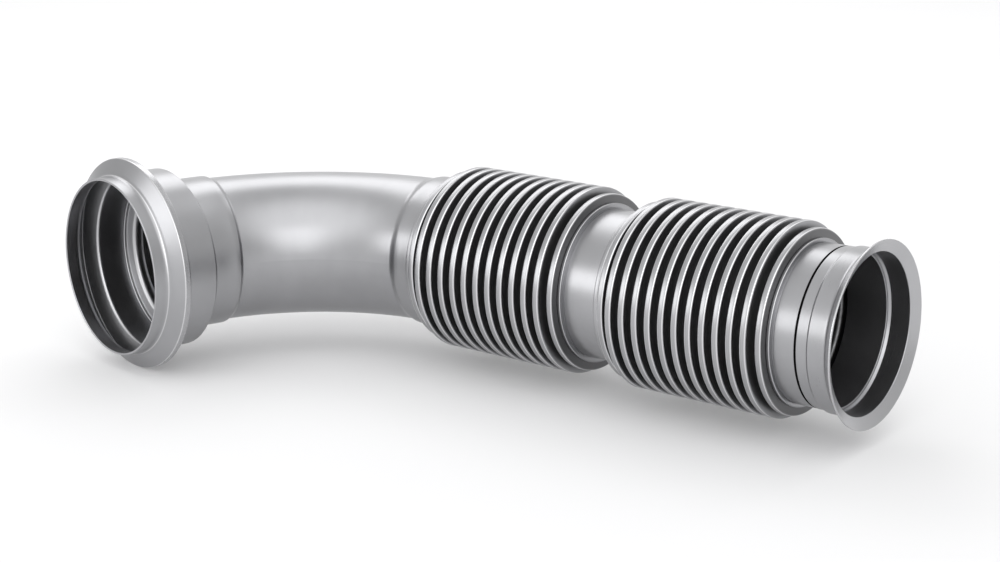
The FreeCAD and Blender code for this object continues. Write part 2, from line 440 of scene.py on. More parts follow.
# %% Folded wall
def folded_side(start, end, first_foot, inset):
    """Corners along one side of the folded wall, from cuff to cuff. Inset is 0 outside."""
    root = CUFF_RADIUS - inset
    half = FOLD_HALF - inset
    middle = first_foot + FOLD_HALF
    corners = [(start, root, 0)]
    rounding = FOOT_ROUNDING + inset
    for fold in range(FOLD_COUNT + 2):
        drop = END_CREST_DROP if fold in (0, FOLD_COUNT + 1) else 0
        top = CREST_RADIUS - drop - inset
        corners.append((middle - half, root, rounding))
        corners.append((middle - half, top, CREST_ROUNDING - inset))
        corners.append((middle + half, top, CREST_ROUNDING - inset))
        last = fold == FOLD_COUNT + 1
        gap = 0 if last else GAPS[fold]
        rounding = FOOT_ROUNDING + inset if last else gap / 2 - half - WELD
        corners.append((middle + half, root, rounding))
        middle += gap
    corners.append((end, root, 0))
    return corners


def bellows_points(start, end, first_foot):
    """The whole closed section of a bellows."""
    outside = folded_side(start, end, first_foot, 0)
    inside = folded_side(start, end, first_foot, BELLOWS_WALL)
    return section_points(outside + inside[::-1], hold=False)


# %% First bellows
first_low, first_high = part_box("bellows_1")
second_low, second_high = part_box("bellows_2")
first_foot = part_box("centre_tube")[0].x - FOLD_RUN
second_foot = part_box("centre_tube")[1].x
bellows_1 = turned_piece("bellows_1_folds", bellows_points(first_low.x, first_high.x, first_foot))

# %% Second bellows
bpy.ops.object.select_all(action="DESELECT")
bellows_1.select_set(True)
bpy.context.view_layer.objects.active = bellows_1
bpy.ops.object.duplicate(linked=False)
bellows_2 = bpy.context.object
bellows_2.name = "bellows_2_folds"
bellows_2.data.name = "bellows_2_folds"
bpy.ops.transform.translate(value=(second_foot - first_foot, 0, 0))
bpy.ops.object.transform_apply(location=True, rotation=False, scale=False)


def pull_cuff(piece, is_end, shift):
    """Moves the ring of vertices at one end of a cuff along the pipe."""
    select_only(piece, [vertex.index for vertex in piece.data.vertices if is_end(vertex.co.x)])
    bpy.ops.object.mode_set(mode="EDIT")
    bpy.ops.transform.translate(value=(shift, 0, 0))
    bpy.ops.object.mode_set(mode="OBJECT")


inlet_end = first_low.x + second_foot - first_foot
outlet_end = first_high.x + second_foot - first_foot
pull_cuff(bellows_2, lambda along: along < inlet_end + WELD, second_low.x - inlet_end)
pull_cuff(bellows_2, lambda along: along > outlet_end - WELD, second_high.x - outlet_end)
print("second bellows stands", round(second_foot - first_foot, 4), "from the first")

# %% [markdown]
# ## Bellows rest places
# A bellows has no pin: it bends as a whole between the pieces at its two ends, and turned as one stiff
# piece it would pull its cuffs off their tubes. Here the CAD bellows is hidden and the new one keeps
# its straight places, so that its finish can bend with it.

# %% Bellows keep their rest places
def keep_rest_place(piece):
    """Stores where each vertex is and faces on the straight piece, so that its finish bends with it."""
    mesh = piece.data
    for name, values in (
        ("rest_place", [vertex.co for vertex in mesh.vertices]),
        ("rest_normal", [vertex.normal for vertex in mesh.vertices]),
    ):
        attribute = mesh.attributes.new(name, "FLOAT_VECTOR", "POINT")
        attribute.data.foreach_set("vector", [part for value in values for part in value])


for piece, node, foot, before, after in (
    (bellows_1, "bellows_1", first_foot, "inlet_end", "centre"),
    (bellows_2, "bellows_2", second_foot, "centre", "outlet_end"),
):
    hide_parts(node)
    keep_rest_place(piece)
    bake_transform(piece)
    along = [vertex.co.x for vertex in piece.data.vertices]
    print(piece.name, "from", round(min(along), 4), "to", round(max(along), 4))

# %% [markdown]
# ## Collars
# A ring clamps each cuff beside the folds: a wide one before a bellows and a narrow one after it.
# They are plain rings with well rounded shoulders, which catch a thin line of light. A bevelled tube
# would do as well, but a turned section gives the bore and both shoulders at once.

# %% Collars
WIDE_SHOULDER = 1.3 * MM
NARROW_SHOULDER = 0.9 * MM
SLEEVE_WALL = 1.8 * MM
CUFF_SEAT_RADIUS = CUFF_RADIUS + SLIP_GAP
SLEEVE_RADIUS = CUFF_SEAT_RADIUS + SLEEVE_WALL


def plain_ring(name, node, inner_radius, shoulder, body):
    """A turned ring in the place of a CAD node, with both outer edges rounded."""
    low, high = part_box(node)
    corners = [
        (low.x, inner_radius, 0),
        (low.x, high.z, shoulder),
        (high.x, high.z, shoulder),
        (high.x, inner_radius, 0),
    ]
    stands_for(turned_piece(name, section_points(corners)), node, body)


for node, inner_radius, shoulder, body in (
    ("bellows_1_inlet_collar", SLEEVE_RADIUS + SLIP_GAP, WIDE_SHOULDER, "inlet_end"),
    ("bellows_1_outlet_collar", CUFF_SEAT_RADIUS, NARROW_SHOULDER, "centre"),
    ("bellows_2_inlet_collar", CUFF_SEAT_RADIUS, WIDE_SHOULDER, "centre"),
    ("bellows_2_outlet_collar", CUFF_SEAT_RADIUS, NARROW_SHOULDER, "outlet_end"),
):
    plain_ring(node + "_ring", node, inner_radius, shoulder, body)

# %% [markdown]
# ## Outlet
# A short sleeve, a dark gap, and then the clamp flange: a spigot, a small step up, a straight body
# and a flared rim whose face is dished. Inside it, the end of the outlet tube makes a bright ring.
# The flange could be stacked from rings, but one section keeps its wall closed from edge to edge.

# %% Outlet sleeve and tube
SLEEVE_EDGE = 0.4 * MM
TUBE_WALL = 1.65 * MM
TUBE_EDGE = 0.7 * MM

plain_ring("outlet_sleeve_ring", "outlet_sleeve", SEAT_RADIUS, SLEEVE_EDGE, "outlet_end")

tube_low, tube_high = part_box("outlet_tube")
outlet_tube_corners = [
    (tube_low.x, TUBE_RADIUS - TUBE_WALL, 0),
    (tube_low.x, TUBE_RADIUS, 0),
    (tube_high.x, TUBE_RADIUS, 0),
    (tube_high.x, TUBE_RADIUS - TUBE_WALL, TUBE_EDGE),
]
outlet_tube = turned_piece("outlet_tube_pipe", section_points(outlet_tube_corners))
stands_for(outlet_tube, "outlet_tube", "outlet_end")

# %% Outlet flange
SPIGOT_WALL = 1.5 * MM
SPIGOT_LENGTH = 9.2 * MM
JOGGLE_LENGTH = 1.6 * MM
BORE_STEP = 1.5 * MM
BORE_STEP_LENGTH = 2.0 * MM
BODY_WALL = 1.6 * MM
BODY_LENGTH = 25.8 * MM
RIM_LAND = 1.7 * MM
DISH_DEPTH = 5.1 * MM

flange_low, flange_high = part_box("outlet_flange")
joggle = flange_low.x + SPIGOT_LENGTH
bore_step = tube_high.x + SLIP_GAP
bore_radius = SEAT_RADIUS + BORE_STEP
outlet_flange_corners = [
    (flange_low.x, SEAT_RADIUS, 0.3 * MM),
    (flange_low.x, SEAT_RADIUS + SPIGOT_WALL, 0.5 * MM),
    (joggle, SEAT_RADIUS + SPIGOT_WALL, 1.2 * MM),
    (joggle + JOGGLE_LENGTH, bore_radius + BODY_WALL, 1.2 * MM),
    (flange_low.x + BODY_LENGTH, bore_radius + BODY_WALL, 4.0 * MM),
    (flange_high.x - RIM_LAND, flange_high.z, 0.6 * MM),
    (flange_high.x, flange_high.z, 0.5 * MM),
    (flange_high.x - DISH_DEPTH, bore_radius, 0.9 * MM),
    (bore_step + BORE_STEP_LENGTH, bore_radius, 0.7 * MM),
    (bore_step, SEAT_RADIUS, 0.2 * MM),
]
outlet_flange = turned_piece("outlet_flange_body", section_points(outlet_flange_corners))
stands_for(outlet_flange, "outlet_flange", "outlet_end")

# %% [markdown]
# ## Bend helpers
# The sleeve before the first bellows and the neck of the inlet cup both run on round the bend. Each
# is turned straight and longer than its straight part, and then the rings of vertices past the start
# of the bend are swung round the bend's centre one by one, as a tube bender would. A curve modifier
# could bend them too, but this way their straight parts stay exactly in place.

# %% Bending rings
BEND_RADIUS = 190.5 * MM
BEND_TURN = math.radians(77)
FEATHER_STEPS = 5


def bend_rings(piece, start, stations):
    """Swings the rings at the stations round a bend that begins at start, ahead of it or behind it."""
    places = [vertex.co.x for vertex in piece.data.vertices]
    for along in stations:
        select_only(piece, [index for index, place in enumerate(places) if abs(place - along) < WELD])
        bpy.ops.object.mode_set(mode="EDIT")
        bpy.ops.transform.translate(value=(start - along, 0, 0))
        bpy.ops.transform.rotate(
            value=(along - start) / BEND_RADIUS,
            orient_axis="Z",
            center_override=(start, -BEND_RADIUS, 0),
        )
        bpy.ops.object.mode_set(mode="OBJECT")
    print(piece.name, "bent at", len(stations), "rings")


def feather(start, end, thick_radius, thin_radius):
    """Outer corners of a wall that thins out in a soft S between two stations."""
    corners = []
    for step in range(FEATHER_STEPS + 1):
        share = step / FEATHER_STEPS
        ease = (1 + math.cos(math.pi * share)) / 2
        radius = thin_radius + (thick_radius - thin_radius) * ease
        corners.append((start + (end - start) * share, radius, 0))
    return corners


# %% [markdown]
# ## Sleeve on the bend
# The sleeve over the elbow's end reaches a little way round the bend and thins out to a fine edge.
# Cut square, it would draw a hard line on the elbow, so the wall thins in a soft S instead.

# %% Sleeve on the bend
SLEEVE_FULL = math.radians(3.9) * BEND_RADIUS
SLEEVE_FEATHER = math.radians(3.3) * BEND_RADIUS
FEATHER_EDGE = 0.25 * MM
ELBOW_TAIL = 13.5 * MM
COLLAR_SETBACK = 2.7 * MM
CUFF_DEPTH = 12.4 * MM

bend_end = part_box("elbow_tube")[1].x - ELBOW_TAIL
sleeve_full = bend_end - SLEEVE_FULL
sleeve_thin = sleeve_full - SLEEVE_FEATHER
sleeve_end = first_foot - COLLAR_SETBACK
cuff_step = first_foot - CUFF_DEPTH
outside = feather(sleeve_full, sleeve_thin, SLEEVE_RADIUS, SEAT_RADIUS + FEATHER_EDGE)
bend_stations = [corner[0] for corner in outside[::-1]] + [bend_end - SLEEVE_FULL / 2]
inside = [(station, SEAT_RADIUS, 0) for station in bend_stations]
sleeve_corners = (
    inside
    + [(bend_end, SEAT_RADIUS, 0), (cuff_step, SEAT_RADIUS, 0), (cuff_step, CUFF_SEAT_RADIUS, 0)]
    + [(sleeve_end, CUFF_SEAT_RADIUS, 0), (sleeve_end, SLEEVE_RADIUS, 0), (bend_end, SLEEVE_RADIUS, 0)]
    + [(bend_stations[-1], SLEEVE_RADIUS, 0)]
    + outside
)
sleeve = turned_piece("bellows_1_inlet_sleeve_skin", section_points(sleeve_corners))
bend_rings(sleeve, bend_end, bend_stations)
stands_for(sleeve, "bellows_1_inlet_sleeve", "inlet_end")

# %% [markdown]
# ## Inlet flange
# One sheet formed in steps: a lip, a cone, a flat ridge, a back slope and a long collar. The ridge is
# hollow behind. Both inlet pieces are turned on the X axis, with the mouth at the origin, and then
# placed at the bend's far end, which is simpler than turning them about a slanted axis.

# %% Inlet place
INLET_LENGTH = 73.4 * MM

flow = Vector((math.cos(BEND_TURN), math.sin(BEND_TURN), 0))
bend_centre = Vector((bend_end, -BEND_RADIUS, 0))
bend_start = bend_centre + Vector((-flow.y, flow.x, 0)) * BEND_RADIUS
mouth = bend_start - flow * INLET_LENGTH
print("inlet mouth at", [round(value, 4) for value in mouth])


def place_at_inlet(piece):
    """Moves a piece turned on the X axis to the inlet, and applies its place to its mesh."""
    bpy.ops.object.select_all(action="DESELECT")
    piece.select_set(True)
    bpy.context.view_layer.objects.active = piece
    piece.location = mouth
    piece.rotation_euler = (0, 0, BEND_TURN)
    bpy.ops.object.transform_apply(location=True, rotation=True, scale=False)


# %% Inlet flange
SHEET_WALL = 2.0 * MM
SHEET_EDGE = 0.6 * MM
inlet_flange_path = [
    (0, 77.4 * MM, 0),
    (12.4 * MM, 78.1 * MM, 5.0 * MM),
    (20.2 * MM, 92.5 * MM, 1.2 * MM),
    (25.6 * MM, 92.5 * MM, 1.0 * MM),
    (33.4 * MM, 78.4 * MM, 1.0 * MM),
    (59.6 * MM, 78.4 * MM, 0),
]
inlet_flange = turned_piece(
    "inlet_flange_sheet", section_points(sheet_corners(inlet_flange_path, SHEET_WALL, SHEET_EDGE))
)
place_at_inlet(inlet_flange)
stands_for(inlet_flange, "inlet_flange", "inlet_end")

# %% [markdown]
# ## Inlet cup
# A cup sits inside the end of the flange's collar and necks down onto the elbow tube. Its neck
# follows the bend for eight degrees and thins out there. A plain cone could close the step, but the
# photo shows a steep face between two soft bends, so the path has a corner for each.

# %% Inlet cup
CUP_WALL = 2.4 * MM
CUP_RADIUS = 76.3 * MM
CUP_START = 57.6 * MM
CUP_END = 62.4 * MM
CUP_FACE_SLOPE = 1.5 * MM
CUP_BEND = 3.0 * MM
NECK_BEND = 2.1 * MM
NECK_FULL = math.radians(8.2) * BEND_RADIUS
NECK_FEATHER = math.radians(1.6) * BEND_RADIUS
NECK_PARTS = 4

neck_radius = SEAT_RADIUS + CUP_WALL
cup_path = [
    (CUP_START, CUP_RADIUS, 0),
    (CUP_END, CUP_RADIUS, CUP_BEND),
    (CUP_END + CUP_FACE_SLOPE, neck_radius, NECK_BEND),
    (INLET_LENGTH, neck_radius, 0),
]
# The neck goes on round the bend, so the free end that the sheet would have there is left out.
cup = sheet_corners(cup_path, CUP_WALL, SHEET_EDGE)
cup_outside = cup[: len(cup_path) - 1]
cup_inside = cup[len(cup_path) + 1 :]
neck_full = INLET_LENGTH + NECK_FULL
feather_corners = feather(neck_full, neck_full + NECK_FEATHER, neck_radius, SEAT_RADIUS + FEATHER_EDGE)
neck_stations = [INLET_LENGTH + NECK_FULL * part / NECK_PARTS for part in range(1, NECK_PARTS)]
bend_stations = [corner[0] for corner in feather_corners[::-1]] + neck_stations[::-1]
cup_corners = (
    cup_outside
    + [(INLET_LENGTH, neck_radius, 0)]
    + [(station, neck_radius, 0) for station in neck_stations]
    + feather_corners
    + [(station, SEAT_RADIUS, 0) for station in bend_stations]
    + [(INLET_LENGTH, SEAT_RADIUS, 0)]
    + cup_inside
)
inlet_cup = turned_piece("inlet_reducer_cup", section_points(cup_corners))
bend_rings(inlet_cup, INLET_LENGTH, bend_stations)
place_at_inlet(inlet_cup)
stands_for(inlet_cup, "inlet_reducer", "inlet_end")

# %% [markdown]
# ## Steel
# The whole pipe is satin stainless steel, and each part of it was finished on its own machine. Turned
# and formed pieces have very fine lines round them. Folds get painted highlights on their shoulders
# and painted shade deep between them. A photo texture can't follow rings like these, so the lines and
# masks are worked out from each point's place along and around its own centre line.

# %% Group helper
PLACE = ("Place", "NodeSocketVector", None)
NOISE_RANGE = (0.3, 0.7)


def new_group(name, inputs, outputs):
    """An empty node group with its sockets. Returns its tree, its input node and its output node."""
    tree = bpy.data.node_groups.new(name, "ShaderNodeTree")
    for socket_name, kind, value in inputs:
        socket = tree.interface.new_socket(socket_name, in_out="INPUT", socket_type=kind)
        if value is not None:
            socket.default_value = value
    for socket_name in outputs:
        tree.interface.new_socket(socket_name, in_out="OUTPUT", socket_type="NodeSocketFloat")
    return tree, tree.nodes.new("NodeGroupInput"), tree.nodes.new("NodeGroupOutput")


def noise(tree, place, scale, detail):
    """A noise texture's value at a place. Nearly all of it lies in the noise range."""
    node = add_node(tree, "ShaderNodeTexNoise")
    node.inputs["Scale"].default_value = scale
    node.inputs["Detail"].default_value = detail
    tree.links.new(place, node.inputs["Vector"])
    return node.outputs["Fac"]


# %% Lathe lines
LINES_PER_METRE = 2600
STREAKS_ROUND = 5.0

lines_tree, lines_in, lines_out = new_group("lathe_lines", [PLACE], ["Lines", "Radius"])
parts = split_vector(lines_tree, lines_in.outputs["Place"])
across = joined_vector(lines_tree, Y=parts["Y"], Z=parts["Z"])
radius = vector_math(lines_tree, "LENGTH", across)
around = split_vector(lines_tree, vector_math(lines_tree, "NORMALIZE", across))
path_length = math_node(lines_tree, "ADD", parts["X"], radius)
streaks = {"X": math_node(lines_tree, "MULTIPLY", path_length, LINES_PER_METRE)}
for axis in ("Y", "Z"):
    streaks[axis] = math_node(lines_tree, "MULTIPLY", around[axis], STREAKS_ROUND)
streak_noise = noise(lines_tree, joined_vector(lines_tree, **streaks), 1.0, 2)
lines_tree.links.new(streak_noise, lines_out.inputs["Lines"])
lines_tree.links.new(radius, lines_out.inputs["Radius"])
print("lathe lines every", round(1000 / LINES_PER_METRE, 2), "mm")

# %% Clouds
CLOUDS_PER_METRE = 22
CLOUD_RANGE = (0.35, 0.65)
SPECKS_PER_METRE = 900

clouds_tree, clouds_in, clouds_out = new_group("rolling_clouds", [PLACE], ["Clouds", "Specks"])
for output, scale, detail, noise_range in (
    ("Clouds", CLOUDS_PER_METRE, 3, CLOUD_RANGE),
    ("Specks", SPECKS_PER_METRE, 2, NOISE_RANGE),
):
    value = noise(clouds_tree, clouds_in.outputs["Place"], scale, detail)
    clouds_tree.links.new(ramp(clouds_tree, value, *noise_range, 0, 1), clouds_out.inputs[output])
    print(output, "repeat about every", round(1000 / scale, 1), "mm")

# %% Facing
# Steepness is how much a face looks along the axis: 0 on a plain tube, 1 on a flat end.
FLANK_STEEPNESS = (0.75, 0.98)
SHOULDER_FROM = (0.15, 0.35)
SHOULDER_TO = (0.6, 0.8)
INWARD_DEPTH = -10 * MM

# The shoulder mask marks where painted highlights go on folds and rings, and the flank mask where
# painted shade goes.
facing_tree, facing_in, facing_out = new_group(
    "facing_from_axis", [PLACE, ("Normal", "NodeSocketVector", None)], ["Flank", "Inward", "Shoulder"]
)
steep = split_vector(facing_tree, facing_in.outputs["Normal"])["X"]
steep = math_node(facing_tree, "ABSOLUTE", steep)
flank = ramp(facing_tree, steep, *FLANK_STEEPNESS, 0, 1)
turning = ramp(facing_tree, steep, *SHOULDER_FROM, 0, 1)
not_steep = ramp(facing_tree, steep, *SHOULDER_TO, 1, 0)
shoulder = math_node(facing_tree, "MULTIPLY", turning, not_steep)
outward = vector_math(facing_tree, "MULTIPLY", facing_in.outputs["Place"], (0, 1, 1))
inward = vector_math(facing_tree, "DOT_PRODUCT", outward, facing_in.outputs["Normal"])
inward = ramp(facing_tree, inward, 0, INWARD_DEPTH, 0, 1)
for output, value in (("Flank", flank), ("Inward", inward), ("Shoulder", shoulder)):
    facing_tree.links.new(value, facing_out.inputs[output])
print("a flank is steeper than", FLANK_STEEPNESS[0])

# %% Crevices
# The group marks a band along the axis: the painted shade of the outlet gap and inside the inlet
# flange, and painted highlight lines and bands.
NOWHERE = 10.0
CREVICE_EDGE = 0.8

crevice_tree, crevice_in, crevice_out = new_group(
    "crevice_along_axis",
    [PLACE, ("Along", "NodeSocketFloat", NOWHERE), ("Half Width", "NodeSocketFloat", MM)],
    ["Crevice"],
)
parts = split_vector(crevice_tree, crevice_in.outputs["Place"])
away = math_node(crevice_tree, "SUBTRACT", parts["X"], crevice_in.outputs["Along"])
away = math_node(crevice_tree, "ABSOLUTE", away)
away = math_node(crevice_tree, "DIVIDE", away, crevice_in.outputs["Half Width"])
crevice = ramp(crevice_tree, away, CREVICE_EDGE, 1.0, 1, 0)
crevice_tree.links.new(crevice, crevice_out.inputs["Crevice"])
print("a crevice fades over the outer", round(1 - CREVICE_EDGE, 2), "of its width")

# %% Wear and painted root shade
PATCHES_PER_METRE = 160
THINNEST_PATCH = 0.6

wear_and_shade_tree, wear_and_shade_in, wear_and_shade_out = new_group(
    "wear_and_shade_by_radius",
    [
        PLACE,
        ("Radius", "NodeSocketFloat", 0.0),
        ("Worn Above", "NodeSocketFloat", 1.0),
        ("Shaded Below", "NodeSocketFloat", 0.0),
        ("Spread", "NodeSocketFloat", MM),
    ],
    ["Worn", "Root Shade"],
)
wear_and_shade = wear_and_shade_in.outputs
patches = noise(wear_and_shade_tree, wear_and_shade["Place"], PATCHES_PER_METRE, 3)
patches = ramp(wear_and_shade_tree, patches, *NOISE_RANGE, THINNEST_PATCH, 1.0)
# Worn is real wear above a radius. The other output is painted shade below a radius, which darkens the
# fold roots.
for output, larger, smaller in (("Worn", "Radius", "Worn Above"), ("Root Shade", "Shaded Below", "Radius")):
    past = math_node(wear_and_shade_tree, "SUBTRACT", wear_and_shade[larger], wear_and_shade[smaller])
    past = math_node(wear_and_shade_tree, "DIVIDE", past, wear_and_shade["Spread"], clamp=True)
    wear_and_shade_tree.links.new(math_node(wear_and_shade_tree, "MULTIPLY", past, patches), wear_and_shade_out.inputs[output])
print("wear and dirt come in patches of about", round(1000 / PATCHES_PER_METRE, 1), "mm")

# %% [markdown]
# ## Place on a centre line
# The lines need each point's place along and around its piece, and the masks need to know which way
# it faces. On the straight leg these are plain Object coordinates. A bellows bends, so it carries its
# straight places with it as attributes. At the inlet a Mapping node turns the coordinates onto the
# flange's own axis, and on the elbow a few Math nodes unroll the bend.

# %% Places
def straight_place(tree):
    """Place and normal along the straight leg."""
    coordinates = add_node(tree, "ShaderNodeTexCoord")
    return coordinates.outputs["Object"], coordinates.outputs["Normal"]


def rest_place(tree):
    """Place and normal that a bending piece had when it was straight."""
    stored = []
    for name in ("rest_place", "rest_normal"):
        stored.append(add_node(tree, "ShaderNodeAttribute", attribute_name=name).outputs["Vector"])
    return stored


def inlet_place(tree):
    """Place and normal along the inlet's axis."""
    coordinates = add_node(tree, "ShaderNodeTexCoord")
    turned = []
    for source, origin in (("Object", mouth), ("Normal", (0, 0, 0))):
        mapping = add_node(tree, "ShaderNodeMapping", vector_type="TEXTURE")
        mapping.inputs["Location"].default_value = origin
        mapping.inputs["Rotation"].default_value = (0, 0, BEND_TURN)
        tree.links.new(coordinates.outputs[source], mapping.inputs["Vector"])
        turned.append(mapping.outputs["Vector"])
    return turned


def bend_place(tree):
    """Place and normal along the bend, unrolled about its centre."""
    coordinates = add_node(tree, "ShaderNodeTexCoord").outputs
    from_centre = vector_math(tree, "SUBTRACT", coordinates["Object"], bend_centre)
    parts = split_vector(tree, from_centre)
    turn = math_node(tree, "ARCTAN2", parts["X"], parts["Y"])
    flat = vector_math(tree, "MULTIPLY", from_centre, (1, 1, 0))
    reach = vector_math(tree, "LENGTH", flat)
    place = joined_vector(
        tree,
        X=math_node(tree, "MULTIPLY", turn, BEND_RADIUS),
        Y=math_node(tree, "SUBTRACT", reach, BEND_RADIUS),
        Z=parts["Z"],
    )
    spoke = vector_math(tree, "NORMALIZE", flat)
    outward = vector_math(tree, "DOT_PRODUCT", coordinates["Normal"], spoke)
    upward = split_vector(tree, coordinates["Normal"])["Z"]
    return place, joined_vector(tree, Y=outward, Z=upward)


# %% [markdown]
# ## Finishes
# One function builds the satin steel, and each finish gives it its own roughness, place and bounds of
# wear, and says where painted light and shade go. Clean steel, painted shade, bare worn metal, painted
# highlights and painted gap shade are mixed by the masks. The lines roughen the steel and raise it by a
# few thousandths of a millimetre. A material drawn by hand for each piece would say the same things
# seven times over.

# %% Masks
# Painted shade: inward faces in a band and the deep flanks of the folds are darkened where shade falls.
INNER_SHADE = 0.2
FLANK_DARKEST_RADIUS = 73.5 * MM
FLANK_UNSHADED_RADIUS = 79.0 * MM


def between(tree, place, spans):
    """Socket that is 1 where a place along the axis lies in one of the spans."""
    along = split_vector(tree, place)["X"]
    total = None
    for start, end in spans:
        after = ramp(tree, along, start - MM, start, 0, 1)
        before = ramp(tree, along, end, end + MM, 1, 0)
        span = math_node(tree, "MULTIPLY", after, before)
        total = math_node(tree, "MAXIMUM", total, span) if total else span
    return total


def masked(tree, groups, inner_shade_band, crevice, flank_shade):
    """Sockets of the worn mask, the painted shade mask and the painted gap shade mask."""
    for name, (along, half_width) in (("band", inner_shade_band), ("crevice", crevice)):
        groups[name].inputs["Along"].default_value = along
        groups[name].inputs["Half Width"].default_value = half_width
    facing = groups["facing"].outputs
    # Painted shade: inward faces inside the inner band, and fold flanks the more the deeper they lie.
    band = math_node(tree, "MULTIPLY", facing["Inward"], groups["band"].outputs["Crevice"])
    band = math_node(tree, "MULTIPLY", band, INNER_SHADE)
    radius = groups["lines"].outputs["Radius"]
    depth = ramp(tree, radius, FLANK_DARKEST_RADIUS, FLANK_UNSHADED_RADIUS, flank_shade, 0)
    flank = math_node(tree, "MULTIPLY", facing["Flank"], depth)
    painted_shade = math_node(tree, "MAXIMUM", band, flank)
    painted_shade = math_node(tree, "MAXIMUM", groups["wear_and_shade"].outputs["Root Shade"], painted_shade)
    # Painted gap shade: outward faces inside the crevice go near black, where the gap lies in shade.
    outside = math_node(tree, "SUBTRACT", 1.0, facing["Inward"])
    gap_shade = math_node(tree, "MULTIPLY", groups["crevice"].outputs["Crevice"], outside)
    return groups["wear_and_shade"].outputs["Worn"], painted_shade, gap_shade


def painted_highlight_mask(tree, place, groups, bands, shoulders):
    """Socket of the painted highlight mask. A band is (along, half width, strength, side), and the
    shoulders of folds and rings are (strength, radius that they start at)."""
    share, from_radius = shoulders
    facing = groups["facing"].outputs
    outside = math_node(tree, "SUBTRACT", 1.0, facing["Inward"])
    high = ramp(tree, groups["lines"].outputs["Radius"], from_radius - MM, from_radius, 0, share)
    total = math_node(tree, "MULTIPLY", math_node(tree, "MULTIPLY", facing["Shoulder"], outside), high)
    for along, half_width, strength, side in bands:
        band = add_node(tree, "ShaderNodeGroup", node_tree=crevice_tree)
        tree.links.new(place, band.inputs["Place"])
        band.inputs["Along"].default_value = along
        band.inputs["Half Width"].default_value = half_width
        faced = outside if side == "outer" else facing["Inward"]
        share = math_node(tree, "MULTIPLY", faced, strength)
        share = math_node(tree, "MULTIPLY", band.outputs["Crevice"], share)
        total = math_node(tree, "MAXIMUM", total, share)
    return total


# %% Satin steel
STEEL_TINT = (0.385, 0.386, 0.398)
# Painted shade: the dark colour that flanks, fold roots and inner bands are mixed towards.
PAINTED_SHADE_TINT = (0.13, 0.13, 0.132)
BARE_TINT = (0.5, 0.5, 0.512)
# Painted highlight: the bright colour of painted highlight lines, bands and shoulders.
HIGHLIGHT_TINT = (0.82, 0.82, 0.83)
# Painted shade: the near black of the gap between the outlet sleeve and the flange.
GAP_SHADE_TINT = (0.012, 0.012, 0.012)
CLOUD_SHADES = (0.96, 1.03)
PAINTED_SHADE_COVER = 0.9
WEAR_COVER = 0.5
LINE_ROUGHNESS = 0.02
SPECK_SHARE = 0.35
BUMP_STRENGTH = 0.5
LINE_HEIGHT = 0.002 * MM


def mixed(tree, share, first, second):
    """Colour between two colours or sockets, by a socket's share."""
    node = add_node(tree, "ShaderNodeMix", data_type="RGBA")
    tree.links.new(share, node.inputs["Factor"])
    for name, value in (("A", first), ("B", second)):
        socket = [each for each in node.inputs if each.name == name and each.type == "RGBA"][0]
        if isinstance(value, tuple):
            socket.default_value = (*value, 1)
        else:
            tree.links.new(value, socket)
    return [each for each in node.outputs if each.type == "RGBA"][0]


